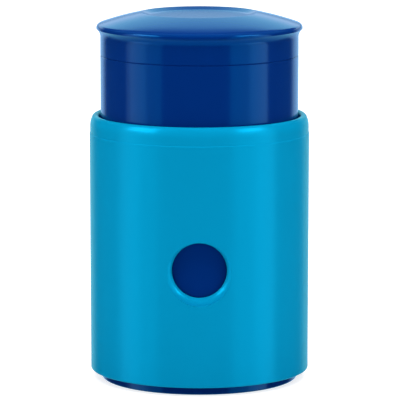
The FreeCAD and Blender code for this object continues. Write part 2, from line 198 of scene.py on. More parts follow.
floor_paint, tree, output = new_material("white_floor")
rays, straight = ray_kinds(tree)
place = new_node(tree, "ShaderNodeTexCoord")
distance = new_node(tree, "ShaderNodeVectorMath", operation="LENGTH")
link(tree, place.outputs["Object"], distance.inputs[0])
away = distance.outputs["Value"]
white = multiply(tree, straight, ramp(tree, away, NEAR_REACH, FAR_REACH, GLOW_NEAR, GLOW_FAR))
bounced = multiply(tree, rays["Is Diffuse Ray"], ramp(tree, away, BOUNCE_NEAR, BOUNCE_FAR))
matt = new_node(tree, "ShaderNodeBsdfDiffuse")
matt.inputs["Color"].default_value = (FLOOR_ALBEDO, FLOOR_ALBEDO, FLOOR_ALBEDO, 1)
glow = new_node(tree, "ShaderNodeEmission")
link(tree, multiply_add(tree, bounced, TABLE_BOUNCE, white), glow.inputs["Strength"])
both = new_node(tree, "ShaderNodeAddShader")
link(tree, matt.outputs[0], both.inputs[0])
link(tree, glow.outputs[0], both.inputs[1])
link(tree, both.outputs[0], output.inputs["Surface"])
floor.data.materials.append(floor_paint)
print("floor", FLOOR_SIZE, "m wide")

# %% [markdown]
# ## What the gloss mirrors
#
# Glossy plastic shows its surroundings as much as its own colour. Here the lid's dome and the
# barrel's thin edges mirror a pale cool backdrop behind the object, and the flanks mirror a dark
# room. Real planes could stand there, but they would also cast light and shadows. So we work out
# a world from the ray's direction instead, and start with the parts of that direction: across,
# deep and up, and once more across and deep for the same ray laid level.

# %% Directions in the world


def split_direction(tree, direction):
    """The X, Y and Z parts of a direction."""
    parts = new_node(tree, "ShaderNodeSeparateXYZ")
    link(tree, direction, parts.inputs[0])
    return [parts.outputs[name] for name in "XYZ"]


world = bpy.data.worlds.new("studio_world")
bpy.context.scene.world = world
world.use_nodes = True
tree = world.node_tree
tree.nodes.clear()
direction = new_node(tree, "ShaderNodeTexCoord").outputs["Generated"]
across, deep, up = split_direction(tree, direction)
level_way = new_node(tree, "ShaderNodeVectorMath", operation="MULTIPLY")
level_way.inputs[1].default_value = (1, 1, 0)
link(tree, direction, level_way.inputs[0])
level_unit = new_node(tree, "ShaderNodeVectorMath", operation="NORMALIZE")
link(tree, level_way.outputs[0], level_unit.inputs[0])
level_across, level_deep, _ = split_direction(tree, level_unit.outputs[0])
print("world nodes for the directions:", len(tree.nodes))

# %% [markdown]
# ## The backdrop and the room
#
# From bottom to top the backdrop is pale at its foot, then dim, then bright in a narrow band,
# and calmer again above it. The foot draws the barrel's light edges, the band draws the ring of
# the lid's dish, and the rest shades the dome. One flat tone would be simpler, but the dome
# would look like paper. The backdrop's upper edge is arched and comes down at the sides, so
# that the flanks of the lid stay dark.

# %% Backdrop and room
BACKDROP_FOOT = (0.50, 0.95, 1.45)
BACKDROP_DIM = (0.24, 0.48, 0.70)
BACKDROP_BAND = (0.85, 1.25, 1.60)
BACKDROP_TOP = (0.46, 1.19, 1.48)
DIM_RISE, BAND_RISE, TOP_RISE = (0.03, 0.09), (0.12, 0.19), (0.20, 0.36)
BACKDROP_SIDES, BACKDROP_LEAN = (0.69, 0.88), 0.06
BACKDROP_EDGE = (0.67, 0.63)
ARCH_RISE, ARCH_FALL = (0.25, 0.42), 4.5
DARK_STUDIO = (0.02, 0.10, 0.25)
HIGH_STUDIO = (0.15, 0.55, 0.75)
HIGH_RISE, HIGH_DEPTH = (0.30, 0.60), (0.70, 0.50)
FLOOR_TONE = (0.30, 1.00, 1.30)
FLOOR_FALL = (-0.30, -0.55)


def mix_colours(tree, factor, first, second):
    """Mix two colours, given as plain values or as sockets."""
    mix = new_node(tree, "ShaderNodeMix", data_type="RGBA")
    link(tree, factor, mix.inputs["Factor"])
    for name, colour in (("A", first), ("B", second)):
        socket = next(s for s in mix.inputs if s.name == name and s.type == "RGBA")
        if isinstance(colour, tuple):
            socket.default_value = (*colour, 1)
        else:
            link(tree, colour, socket)
    return next(s for s in mix.outputs if s.type == "RGBA")


backdrop = BACKDROP_FOOT
for rise, colour in (
    (DIM_RISE, BACKDROP_DIM),
    (BAND_RISE, BACKDROP_BAND),
    (TOP_RISE, BACKDROP_TOP),
):
    backdrop = mix_colours(tree, ramp(tree, up, *rise), backdrop, colour)
aside = multiply(tree, multiply(tree, across, across), ramp(tree, up, *ARCH_RISE))
arch = multiply_add(tree, aside, ARCH_FALL, up)
backwards = multiply_add(tree, level_across, BACKDROP_LEAN, level_deep)
behind = multiply(
    tree, ramp(tree, backwards, *BACKDROP_SIDES), ramp(tree, arch, *BACKDROP_EDGE)
)
high = multiply(tree, ramp(tree, up, *HIGH_RISE), ramp(tree, deep, *HIGH_DEPTH))
studio = mix_colours(tree, high, DARK_STUDIO, HIGH_STUDIO)
around = mix_colours(tree, behind, studio, backdrop)
mirrored = mix_colours(tree, ramp(tree, up, *FLOOR_FALL), around, FLOOR_TONE)
print("world nodes with the backdrop:", len(tree.nodes))

# %% [markdown]
# ## One world for each kind of ray
#
# The same world has to be a white page to the camera, a room to the gloss and a weak fill to the
# plain colour of the plastic. Three worlds can't be loaded at once, but the Light Path node
# tells which kind of ray is asking, so we mix the three by its answer. The fill comes mostly
# from the camera's side, as from a pale wall behind the photographer.

# %% World by kind of ray
FRONT_FILL = 0.45
ROUND_FILL = 0.06
FRONT_TURN = (0.1, -1.0)
WHITE = (1.0, 1.0, 1.0)

fill = mix_colours(tree, ramp(tree, deep, *FRONT_TURN), (ROUND_FILL,) * 3, (FRONT_FILL,) * 3)
rays, straight = ray_kinds(tree)
by_ray = mix_colours(tree, rays["Is Glossy Ray"], fill, mirrored)
sky = new_node(tree, "ShaderNodeBackground")
link(tree, mix_colours(tree, straight, by_ray, WHITE), sky.inputs["Color"])
world_output = new_node(tree, "ShaderNodeOutputWorld")
link(tree, sky.outputs[0], world_output.inputs["Surface"])
print("world nodes in all:", len(tree.nodes))

# %% [markdown]
# ## The soft boxes
#
# The upright bright bands on sleeve and drum are mirrored soft boxes to the left and right of
# the camera. Point lamps would draw hard dots instead, so we use large area lamps. On each side
# a narrow core and a wide wing overlap, which gives a band its soft edges. Two small boxes
# higher up only serve the gloss and draw the glints on the sleeve's rim. A wide one hangs above
# and lights the lid, but it isn't mirrored, because the dome shows the backdrop alone.

# %% Soft boxes
SIDE_DISTANCE = 0.5
SIDE_HEIGHT, SIDE_TALL = 0.0, 0.5
UPPER_HEIGHT, UPPER_TALL = 0.33, 0.26
TOP_PLACE = (0, -0.07, 0.62)
TOP_WIDTH, TOP_TALL, TOP_RADIANCE = 1.0, 0.6, 3.3


def add_soft_box(name, place, aim, width, tall, radiance, gloss_only=False):
    """A soft box at a place, facing an aim point, with its brightness given per area."""
    deselect()
    bpy.ops.object.light_add(type="AREA", location=place)
    box = bpy.context.object
    box.name = name
    box.data.shape = "RECTANGLE"
    box.data.size = width
    box.data.size_y = tall
    box.data.energy = radiance * math.pi * width * tall
    box.rotation_euler = (Vector(aim) - Vector(place)).to_track_quat("-Z", "Y").to_euler()
    box.visible_camera = False
    box.visible_diffuse = not gloss_only
    print(name, "power", round(box.data.energy, 2), "W")
    return box


# Each row: name, degrees round from the camera, height, width, tallness, radiance, gloss only.
for name, degrees, height, width, tall, radiance, gloss_only in (
    ("left_core", -75, SIDE_HEIGHT, 0.20, SIDE_TALL, 0.75, False),
    ("left_wing", -68, SIDE_HEIGHT, 0.45, SIDE_TALL, 0.78, False),
    ("right_core", 72, SIDE_HEIGHT, 0.22, SIDE_TALL, 0.85, True),
    ("right_wing", 60, SIDE_HEIGHT, 0.46, SIDE_TALL, 1.00, False),
    ("left_upper", -66, UPPER_HEIGHT, 0.30, UPPER_TALL, 6.5, True),
    ("right_upper", 60, UPPER_HEIGHT, 0.26, UPPER_TALL, 6.5, True),
):
    angle = math.radians(degrees)
    place = (math.sin(angle) * SIDE_DISTANCE, -math.cos(angle) * SIDE_DISTANCE, height)
    add_soft_box(name, place, (0, 0, height), width, tall, radiance, gloss_only)
middle = (cad_box[0] + cad_box[1]) / 2
top_box = add_soft_box("top_soft_box", TOP_PLACE, middle, TOP_WIDTH, TOP_TALL, TOP_RADIANCE)
top_box.visible_glossy = False

# %% [markdown]
# ## Turned shapes
#
# Sleeve, drum and lid are all round. Cylinders with bevelled edges could make them, but a bevel
# has one radius all along, and these rounds open and tighten. So each piece begins as a profile
# beside the Z axis. We draw it as by hand: shrink a new plane to one point, extrude that point
# along the outline, close the loop and spin it. Rounds are short arcs in the profile, so that
# the spin carries them round.

# %% Draw an outline


def arc(centre, radius, start_deg, end_deg, count):
    """Points on an arc of a circle, from one angle to another."""
    points = []
    for index in range(count + 1):
        angle = math.radians(start_deg + (end_deg - start_deg) * index / count)
        points.append((centre[0] + radius * math.cos(angle), centre[1] + radius * math.sin(angle)))
    return points


def start_object(name):
    """Name the newest object and open it with all its points selected."""
    piece = bpy.context.object
    piece.name = name
    piece.data.name = name
    bpy.ops.object.mode_set(mode="EDIT")
    bpy.ops.mesh.select_mode(type="VERT")
    bpy.ops.mesh.select_all(action="SELECT")
    return piece


def draw_loop(name, points):
    """Extrude one point along a closed outline of places in space."""
    deselect()
    bpy.ops.mesh.primitive_plane_add(size=MM, location=(0, 0, 0))
    piece = start_object(name)
    bpy.ops.mesh.merge(type="CENTER")
    bpy.ops.transform.translate(value=points[0])
    for before, after in zip(points, points[1:]):
        step = [b - a for a, b in zip(before, after)]
        bpy.ops.mesh.extrude_region_move(TRANSFORM_OT_translate={"value": step})
    bpy.ops.object.mode_set(mode="OBJECT")
    last = len(points) - 1
    for vertex in piece.data.vertices:
        vertex.select = vertex.index in (0, last)
    bpy.ops.object.mode_set(mode="EDIT")
    bpy.ops.mesh.edge_face_add()
    bpy.ops.mesh.select_all(action="SELECT")
    return piece


# %% Spin it
SPIN_STEPS = 240
JOIN_DISTANCE = 0.001 * MM


def finish_mesh(piece):
    """Merge doubled points, turn the faces outwards and leave edit mode."""
    bpy.ops.mesh.select_all(action="SELECT")
    bpy.ops.mesh.remove_doubles(threshold=JOIN_DISTANCE)
    bpy.ops.mesh.dissolve_degenerate(threshold=JOIN_DISTANCE)
    bpy.ops.mesh.normals_make_consistent(inside=False)
    bpy.ops.object.mode_set(mode="OBJECT")
    print(piece.name, "faces", len(piece.data.polygons))
    return piece


def spin_profile(name, profile, steps=SPIN_STEPS):
    """Spin a closed profile of radius and height about the Z axis."""
    piece = draw_loop(name, [(radius, 0, height) for radius, height in profile])
    bpy.ops.mesh.spin(
        steps=steps, angle=2 * math.pi, center=(0, 0, 0), axis=(0, 0, 1), use_auto_merge=True
    )
    return finish_mesh(piece)


print("one step of the spin is", 360 / SPIN_STEPS, "degrees")

# %% [markdown]
# ## Blanks
#
# Keys, seats, bores and blocks begin as plain blanks: boxes, rods along the pencil's path, and
# flat outlines that are given a height. A blank could keep its place in the object's transform,
# but patterns on the finished piece would then slide. So every blank is settled at once, which
# moves its place into the mesh and leaves the object at the origin.

# %% Make a blank
ROD_SIDES = 120


def settle():
    """Move the selected object's place, turn and size into its mesh."""
    bpy.ops.object.transform_apply(location=True, rotation=True, scale=True)


def make_box(name, low, high):
    """A box between two corners."""
    deselect()
    bpy.ops.mesh.primitive_cube_add(size=1, location=[(a + b) / 2 for a, b in zip(low, high)])
    piece = bpy.context.object
    piece.name = name
    piece.scale = [b - a for a, b in zip(low, high)]
    settle()
    return piece


def make_rod(name, start_y, end_y, z, start_radius, end_radius, sides=ROD_SIDES):
    """A straight or tapering rod along Y."""
    deselect()
    bpy.ops.mesh.primitive_cone_add(
        vertices=sides,
        radius1=start_radius,
        radius2=end_radius,
        depth=end_y - start_y,
        location=(0, (start_y + end_y) / 2, z),
        rotation=(-math.pi / 2, 0, 0),
    )
    settle()
    piece = bpy.context.object
    piece.name = name
    return piece


def extrude_outline(name, points, low, high):
    """Fill an outline of X and Y at one height and extrude it up to another."""
    piece = draw_loop(name, [(x, y, low) for x, y in points])
    bpy.ops.mesh.edge_face_add()
    bpy.ops.mesh.extrude_region_move(TRANSFORM_OT_translate={"value": (0, 0, high - low)})
    return finish_mesh(piece)


# %% [markdown]
# ## Cutting and finishing
#
# A bore could be drawn into a wall face by face, but a boolean modifier cuts it exactly, and
# applying it leaves an ordinary mesh. Edges of real pieces are never quite sharp, so the small
# ones get a narrow bevel. Blender holds a bevel back where the cuts left very short edges, so on
# cradle and block it comes out far finer than asked. At the end smooth shading up to a set angle
# and weighted normals make the rounds flow.

# %% Cut, soften and shade
SOFTEN_ANGLE = math.radians(40)
SMOOTH_ANGLE = math.radians(32)
EDGE_SEGMENTS = 2


def make_active(piece):
    """Select one piece alone and make it the one that operators work on."""
    deselect()
    piece.select_set(True)
    bpy.context.view_layer.objects.active = piece


def apply_modifier(piece, name, kind, **settings):
    """Add a modifier to a piece with its settings and apply it for good."""
    make_active(piece)
    modifier = piece.modifiers.new(name, kind)
    for key, value in settings.items():
        setattr(modifier, key, value)
    bpy.ops.object.modifier_apply(modifier=modifier.name)


def combine(piece, tool, operation):
    """Cut, join or trim a solid with another one, and remove the tool."""
    apply_modifier(piece, "combine", "BOOLEAN", operation=operation, solver="EXACT", object=tool)
    bpy.data.objects.remove(tool)


def soften(piece, width):
    """Round every sharp edge by a small width."""
    apply_modifier(
        piece,
        "soften",
        "BEVEL",
        width=width,
        segments=EDGE_SEGMENTS,
        limit_method="ANGLE",
        angle_limit=SOFTEN_ANGLE,
    )


def shade(piece):
    """Smooth the rounds, keep the corners and weigh the normals by face size."""
    make_active(piece)
    bpy.ops.object.shade_smooth_by_angle(angle=SMOOTH_ANGLE)
    apply_modifier(piece, "even_shading", "WEIGHTED_NORMAL", keep_sharp=True)


# %% [markdown]
# ## The sleeve
#
# The sleeve is a plain tube with one generous soft rim, and it widens a trace upwards, as a
# moulding does to leave its mould. A fine step below the rim is where two parts of that mould
# met. A bevel could round the rim, but the real one leaves the flank slowly and turns tightly
# at its crest. So we draw it as two arcs that run into each other without a kink.

# %% Sleeve tube
sleeve_low, sleeve_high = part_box("outer_sleeve")
SLEEVE_RADIUS = sleeve_high.x
SLEEVE_WALL = 1.6 * MM
SLEEVE_DRAFT = 0.09 * MM
LIP_ROUND = 0.6 * MM
RIM_DROP = 2.0 * MM
RIM_SHOULDER = 0.32 * MM
FOOT_ROUND = 0.3 * MM
PARTING_DROP = 3.1 * MM
PARTING_STEP = 0.08 * MM
PARTING_SLOPE = 0.12 * MM
FOOT_POINTS, FLANK_POINTS, CREST_POINTS, LIP_POINTS = 5, 8, 12, 8

foot_z, top_z = sleeve_low.z, sleeve_high.z
sleeve_bore = SLEEVE_RADIUS - SLEEVE_WALL
foot_radius = SLEEVE_RADIUS - SLEEVE_DRAFT
upper_radius = SLEEVE_RADIUS - PARTING_STEP
crest_radius = sleeve_bore + LIP_ROUND
parting_z = top_z - PARTING_DROP


def rim_arcs():
    """The rim's outer round: a slow arc up the flank that runs into a tight one at the crest."""
    reach = upper_radius - crest_radius
    tight = reach - RIM_SHOULDER
    rise = RIM_DROP - tight
    slow = (reach**2 + rise**2 - tight**2) / (2 * RIM_SHOULDER)
    meet = math.degrees(math.atan2(rise, slow - reach))
    flank = arc((upper_radius - slow, top_z - RIM_DROP), slow, 0, meet, FLANK_POINTS)
    crest = arc((crest_radius, top_z - tight), tight, meet, 90, CREST_POINTS)
    return flank + crest[1:]


sleeve_profile = (
    [(sleeve_bore, foot_z + FOOT_ROUND), (sleeve_bore + FOOT_ROUND, foot_z)]
    + arc((foot_radius - FOOT_ROUND, foot_z + FOOT_ROUND), FOOT_ROUND, -90, 0, FOOT_POINTS)
    + [(SLEEVE_RADIUS, parting_z - PARTING_SLOPE), (upper_radius, parting_z)]
    + rim_arcs()
    + arc((crest_radius, top_z - LIP_ROUND), LIP_ROUND, 90, 180, LIP_POINTS)[1:]
)
sleeve = spin_profile("sliding_sleeve", sleeve_profile)

# %% [markdown]
# ## The pencil port
#
# The port is a round hole with a flared mouth. The mouth sits a little lower than the hole, so
# that the flare shows as a crescent under it. A cone could cut it, but the real flare is rounded
# and catches two soft glints. So the cutter is a rod whose front face is extruded in short
# steps, each one wider and lower than the one before.

# %% Pencil port
PORT_RADIUS = 4.67 * MM
PORT_Z = 21.59 * MM
FUNNEL_RADIUS = 5.50 * MM
FUNNEL_DROP = 0.49 * MM
# Each step: the share of the flare's depth, and the share of its spread.
FLARE_STEPS = ((0.34, 0.18), (0.62, 0.40), (0.84, 0.68), (1.0, 1.0))
PORT_SIDES = 144
INSIDE_Y = -14 * MM
OUTSIDE_REACH = 3 * MM
FACING_FRONT = -0.99

mouth_y = -math.sqrt(SLEEVE_RADIUS**2 - FUNNEL_RADIUS**2)


def select_faces(piece, wanted):
    """Select the faces that pass a test, in edit mode."""
    bpy.ops.object.mode_set(mode="OBJECT")
    for group in (piece.data.vertices, piece.data.edges):
        for item in group:
            item.select = False
    for face in piece.data.polygons:
        face.select = wanted(face)
    bpy.ops.object.mode_set(mode="EDIT")
    bpy.ops.mesh.select_mode(type="FACE")


def make_throat(name, front_y, z):
    """A straight rod of the port's width, from a front to just inside the drum's wall."""
    return make_rod(name, front_y, INSIDE_Y, z, PORT_RADIUS, PORT_RADIUS, PORT_SIDES)


def make_port_cutter():
    """A plug in the shape of the port: a straight throat, a rounded flare and a straight rim."""
    radius, y, z = PORT_RADIUS, -sleeve_bore, PORT_Z
    cutter = make_throat("port_cutter", y, z)
    start_object("port_cutter")
    select_faces(cutter, lambda face: face.normal.y < FACING_FRONT)
    for depth, spread in FLARE_STEPS:
        next_radius = PORT_RADIUS + (FUNNEL_RADIUS - PORT_RADIUS) * spread
        next_y = -sleeve_bore + (mouth_y + sleeve_bore) * depth
        next_z = PORT_Z - FUNNEL_DROP * spread
        bpy.ops.mesh.extrude_region_move(
            TRANSFORM_OT_translate={"value": (0, next_y - y, next_z - z)}
        )
        flare = next_radius / radius
        bpy.ops.transform.resize(value=(flare, 1, flare), center_override=(0, next_y, next_z))
        radius, y, z = next_radius, next_y, next_z
    bpy.ops.mesh.extrude_region_move(TRANSFORM_OT_translate={"value": (0, -OUTSIDE_REACH, 0)})
    return finish_mesh(cutter)


combine(sleeve, make_port_cutter(), "DIFFERENCE")
print("sleeve with port, faces", len(sleeve.data.polygons))

# %% [markdown]
# ## The sleeve's key
#
# Inside the sleeve's back a small key runs in a groove of the drum. It keeps the sleeve from
# turning, and the groove's ends limit its travel. It could be a piece of its own, but it is
# moulded with the sleeve, so we join a box to the tube and get one closed skin.

# %% Key inside the sleeve
KEY_WIDTH = 3.6 * MM
KEY_FOOT = 8.0 * MM
KEY_RISE = 6.0 * MM
KEY_GAP = 0.15 * MM
KEYWAY_DEPTH = 0.6 * MM
DRUM_TAPER = 0.1 * MM

drum_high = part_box("drum")[1]
DRUM_TOP_RADIUS = drum_high.x
DRUM_BASE_RADIUS = DRUM_TOP_RADIUS - DRUM_TAPER
keyway_floor = DRUM_BASE_RADIUS - KEYWAY_DEPTH
key_low = foot_z + KEY_FOOT

key = make_box(
    "key",
    (-KEY_WIDTH / 2, keyway_floor + KEY_GAP, key_low),
    (KEY_WIDTH / 2, sleeve_bore + SLEEVE_WALL / 2, key_low + KEY_RISE),
)
combine(sleeve, key, "UNION")
shade(sleeve)
print("sleeve with key, faces", len(sleeve.data.polygons))

# %% [markdown]
# ## The drum
#
# The drum is a moulded cup that tapers a little towards its foot. It shows above the sleeve,
# through the closed port and as the dark foot below. A solid could be hollowed out afterwards,
# but one profile that runs under the foot, up the wall, over the rim and down the bore gives
# wall and hollow in a single spin. Then the drum's own port and the groove for the key are cut.

# %% Drum cup
DRUM_WALL = 1.4 * MM
DRUM_FLOOR = 1.6 * MM
BASE_ROUND = 0.3 * MM
BASE_POINTS = 6
FOOT_RING_WIDTH = 3.6 * MM
FOOT_RECESS = 0.4 * MM
SEAM_CHAMFER = 0.12 * MM
MOUTH_CHAMFER = 0.3 * MM
SLEEVE_TRAVEL = 13.5 * MM
STOP_GAP = 0.1 * MM

seam_z = drum_high.z
foot_inner = DRUM_BASE_RADIUS - FOOT_RING_WIDTH
bore_top = DRUM_TOP_RADIUS - DRUM_WALL
bore_base = DRUM_BASE_RADIUS - DRUM_WALL
cutter_z = PORT_Z + SLEEVE_TRAVEL

drum_profile = (
    [(0, FOOT_RECESS), (foot_inner - FOOT_RECESS, FOOT_RECESS), (foot_inner, 0)]
    + arc((DRUM_BASE_RADIUS - BASE_ROUND, BASE_ROUND), BASE_ROUND, -90, 0, BASE_POINTS)
    + [(DRUM_TOP_RADIUS, seam_z - SEAM_CHAMFER), (DRUM_TOP_RADIUS - SEAM_CHAMFER, seam_z)]
    + [(bore_top + MOUTH_CHAMFER, seam_z), (bore_top, seam_z - MOUTH_CHAMFER)]
    + [(bore_base, DRUM_FLOOR), (0, DRUM_FLOOR)]
)
drum = spin_profile("shavings_drum", drum_profile)
combine(drum, make_throat("drum_port", -SLEEVE_RADIUS, cutter_z), "DIFFERENCE")
keyway = make_box(
    "keyway",
    (-KEY_WIDTH / 2 - KEY_GAP, keyway_floor, key_low - STOP_GAP),
    (KEY_WIDTH / 2 + KEY_GAP, SLEEVE_RADIUS, key_low + KEY_RISE + SLEEVE_TRAVEL + STOP_GAP),
)
combine(drum, keyway, "DIFFERENCE")

# %% [markdown]
# ## Rails and posts
#
# Inside the drum two hooked rails and two posts carry the cutter's cradle. Boxes could do for
# them, but each one has to end inside the drum's round wall. So we draw their plan as seen from
# above, with its corners on the middle of that wall, and extrude it. Their ends are buried in
# the wall and the floor, so that a plain join is enough and no boolean is needed.

# %% Rails and posts inside the drum
cradle_low, cradle_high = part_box("cutter_cradle")
CRADLE_GAP = 0.15 * MM
CRADLE_SIDE_RISE = 2.0 * MM
RAIL_THICKNESS = 1.5 * MM
RAIL_LIP = 1.2 * MM
POST_INSET = 2.6 * MM
POST_THICKNESS = 1.5 * MM
POST_DEPTH = 5.0 * MM

rail_top = cutter_z + CRADLE_SIDE_RISE
rail_foot = DRUM_FLOOR / 2
wall_middle = DRUM_BASE_RADIUS - DRUM_WALL / 2
lip_face = cradle_high.y + CRADLE_GAP


def wall_y(x):
    """Where the middle of the drum's front wall lies at a place across."""
    return -math.sqrt(wall_middle**2 - x**2)


supports = []
for side, way in ((cradle_high.x, 1), (cradle_low.x, -1)):
    inner = side + CRADLE_GAP * way
    outer = inner + RAIL_THICKNESS * way
    lip = side - RAIL_LIP * way
    rail = [
        (inner, wall_y(inner)),
        (outer, wall_y(outer)),
        (outer, lip_face + RAIL_LIP),
        (lip, lip_face + RAIL_LIP),
        (lip, lip_face),
        (inner, lip_face),
    ]
    supports.append(extrude_outline("rail", rail, rail_foot, rail_top))
    near = side - POST_INSET * way
    far = near - POST_THICKNESS * way
    back = wall_y(far) + POST_DEPTH
    post = [(near, wall_y(near)), (far, wall_y(far)), (far, back), (near, back)]
    supports.append(extrude_outline("post", post, rail_foot, cradle_low.z))

make_active(drum)
for support in supports:
    support.select_set(True)
bpy.ops.object.join()
shade(drum)
print("drum with rails, faces", len(drum.data.polygons))

# %% [markdown]
# ## The lid
#
# The lid is a shallow dome with a dished top and a flared edge to pull it by. Its skirt is
# flush with the drum, and a plug below the seam holds it in the drum's mouth. A squashed sphere
# would give a dome quickly, but not one that meets the dish and the edge at the right slopes.
# So we draw flare, tip, dome and dish as arcs that run into each other. First come the curves.

# %% Curves of the lid
cap_low, cap_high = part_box("cap")
FLANGE_RADIUS = cap_high.x
SKIRT_RISE = 3.74 * MM
FLANGE_RISE = 0.95 * MM
ROOT_DROP = 0.6 * MM
TIP_LOW = (0.04 * MM, 0.11 * MM)
TIP_HIGH = (0.51 * MM, 0.71 * MM)
DISH_RADIUS = 10.1 * MM
DISH_DEPTH = 0.50 * MM
DISH_SLOPE_DEG = 18
DISH_LIP_ROUND = 0.2 * MM
DISH_HOLLOW = 1.5 * MM
DOME_RIM_SLOPE_DEG = 10
FLARE_POINTS, DISH_LIP_POINTS, HOLLOW_POINTS = 10, 10, 6

dish_rim_z = cap_high.z
dish_floor_z = dish_rim_z - DISH_DEPTH
root_z = seam_z + SKIRT_RISE
flange_z = root_z + FLANGE_RISE
tip_low = (FLANGE_RADIUS - TIP_LOW[0], flange_z - TIP_LOW[1])
tip_high = (FLANGE_RADIUS - TIP_HIGH[0], flange_z + TIP_HIGH[1])


def arc_between(start, finish, radius, count):
    """Points on a circle's arc between two points, bulging away from the axis or upwards."""
    begin, end = Vector(start), Vector(finish)
    chord = end - begin
    inwards = Vector((-chord.y, chord.x)).normalized()
    centre = (begin + end) / 2 + inwards * math.sqrt(radius**2 - (chord.length / 2) ** 2)
    angles = [math.degrees(math.atan2(*reversed(point - centre))) for point in (begin, end)]
    return arc(centre, radius, angles[0], angles[1], count)


def flare_arc():
    """A hollow curve from the straight skirt out to the flange's tip."""
    run = tip_low[0] - DRUM_TOP_RADIUS
    rise = tip_low[1] - root_z + ROOT_DROP
    radius = (run**2 + rise**2) / (2 * run)
    end = math.degrees(math.atan2(rise, run - radius))
    return arc((DRUM_TOP_RADIUS + radius, root_z - ROOT_DROP), radius, 180, end, FLARE_POINTS)


def dish_arcs():
    """The dish's round lip and, below its sloping wall, the hollow that runs into its floor."""
    slope = math.radians(DISH_SLOPE_DEG)
    rounds = DISH_LIP_ROUND + DISH_HOLLOW
    wall_fall = DISH_DEPTH - rounds * (1 - math.cos(slope))
    run = wall_fall / math.tan(slope) + rounds * math.sin(slope)
    lip_centre = (DISH_RADIUS, dish_rim_z - DISH_LIP_ROUND)
    hollow_centre = (DISH_RADIUS - run, dish_floor_z + DISH_HOLLOW)
    lip_angles = (90 - DOME_RIM_SLOPE_DEG, 90 + DISH_SLOPE_DEG)
    lip = arc(lip_centre, DISH_LIP_ROUND, *lip_angles, DISH_LIP_POINTS)
    return lip + arc(hollow_centre, DISH_HOLLOW, DISH_SLOPE_DEG - 90, -90, HOLLOW_POINTS)


# %% Lid
DOME_CURVE = 54 * MM
TIP_ROUND = 0.75 * MM
TIP_POINTS, DOME_POINTS = 12, 12
PLUG_GAP = 0.08 * MM
PLUG_WALL = 1.3 * MM
PLUG_CHAMFER = 0.4 * MM
ROOF_THICKNESS = 2.2 * MM

plug_low = cap_low.z
plug_radius = bore_top - PLUG_GAP
plug_bore = plug_radius - PLUG_WALL
roof_z = dish_floor_z - ROOF_THICKNESS
dish = dish_arcs()

cap_profile = (
    [(0, roof_z), (plug_bore, roof_z), (plug_bore, plug_low)]
    + [(plug_radius - PLUG_CHAMFER, plug_low), (plug_radius, plug_low + PLUG_CHAMFER)]
    + [(plug_radius, seam_z), (DRUM_TOP_RADIUS - SEAM_CHAMFER, seam_z)]
    + [(DRUM_TOP_RADIUS, seam_z + SEAM_CHAMFER)]
    + flare_arc()
    + arc_between(tip_low, tip_high, TIP_ROUND, TIP_POINTS)[1:]
    + arc_between(tip_high, dish[0], DOME_CURVE, DOME_POINTS)[1:]
    + dish[1:]
    + [(0, dish_floor_z)]
)
cap = spin_profile("domed_lid", cap_profile)
shade(cap)

# %% [markdown]
# ## The cradle
#
# Behind the port a small wedge sharpener lies in a plastic cradle. The cradle is a trough with a
# round front that follows the drum's wall, a web above it and a guide bore for the pencil. It
# could be extruded from one plan, but web, trough and seat have different heights. So we join
# and cut it from blanks, which keeps each of these heights a value of its own.

# %% Cradle
CRADLE_WALL = 1.8 * MM
CRADLE_FLOOR = 2.6 * MM
CRADLE_EDGE = 0.12 * MM
GUIDE_RADIUS = 4.4 * MM
CUT_EXTRA = 0.5 * MM
TALL_BLANK = 0.1

block_low, block_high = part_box("sharpener_block")
cradle_front = -cradle_low.y
seat_left = cradle_low.x + CRADLE_WALL
seat_right = cradle_high.x - CRADLE_WALL
seat_z = cradle_low.z + CRADLE_FLOOR


def make_cradle():
    """A trough with a round front, a web above it and a guide bore for the pencil."""
    trough = make_box(
        "drop_in_cradle",
        (cradle_low.x, -cradle_front - CUT_EXTRA, cradle_low.z),
        (cradle_high.x, cradle_high.y, rail_top),
    )
    web = make_box(
        "web",
        (seat_left, -cradle_front - CUT_EXTRA, cradle_low.z),
        (seat_right, block_low.y, cradle_high.z),
    )
    combine(trough, web, "UNION")
    deselect()
    bpy.ops.mesh.primitive_cylinder_add(
        vertices=SPIN_STEPS, radius=cradle_front, depth=TALL_BLANK, location=(0, 0, cutter_z)
    )
    settle()
    combine(trough, bpy.context.object, "INTERSECT")
    seat = make_box(
        "seat",
        (seat_left, block_low.y, seat_z),
        (seat_right, cradle_high.y + CUT_EXTRA, rail_top + CUT_EXTRA),
    )
    combine(trough, seat, "DIFFERENCE")
    guide = make_rod("guide", -SLEEVE_RADIUS, 0, cutter_z, GUIDE_RADIUS, GUIDE_RADIUS)
    combine(trough, guide, "DIFFERENCE")
    soften(trough, CRADLE_EDGE)
    shade(trough)
    return trough


cradle = make_cradle()
print("cradle faces", len(cradle.data.polygons))

# %% [markdown]
# ## The sloping seat
#
# The blade lies along the side of the pencil's cone, so the block's top slopes by half the
# cone's angle. Blade, screw and the tools that cut their places could be drawn at that slope,
# but it is easier to make them flat and square first. One helper then lays them on the seat.

# %% Seat for the blade
BORE_RADIUS = 4.1 * MM
BORE_LEAD = 1.5 * MM
BORE_HALF_ANGLE = math.radians(11.75)
BLADE_MARGIN = 1.2 * MM
SCREW_SIDE = 3.9 * MM
SCREW_DEPTH = 4.2 * MM
SCREW_SIDES = 64

cone_slope = math.tan(BORE_HALF_ANGLE)
block_front, block_tail = block_low.y, block_high.y
seat_at_front = BORE_RADIUS + BORE_LEAD * cone_slope
blade_length = (block_tail - block_front - 2 * BLADE_MARGIN) / math.cos(BORE_HALF_ANGLE)
blade_z = cutter_z + seat_at_front - BLADE_MARGIN * cone_slope
screw_place = (SCREW_SIDE, blade_length / 2, 0)


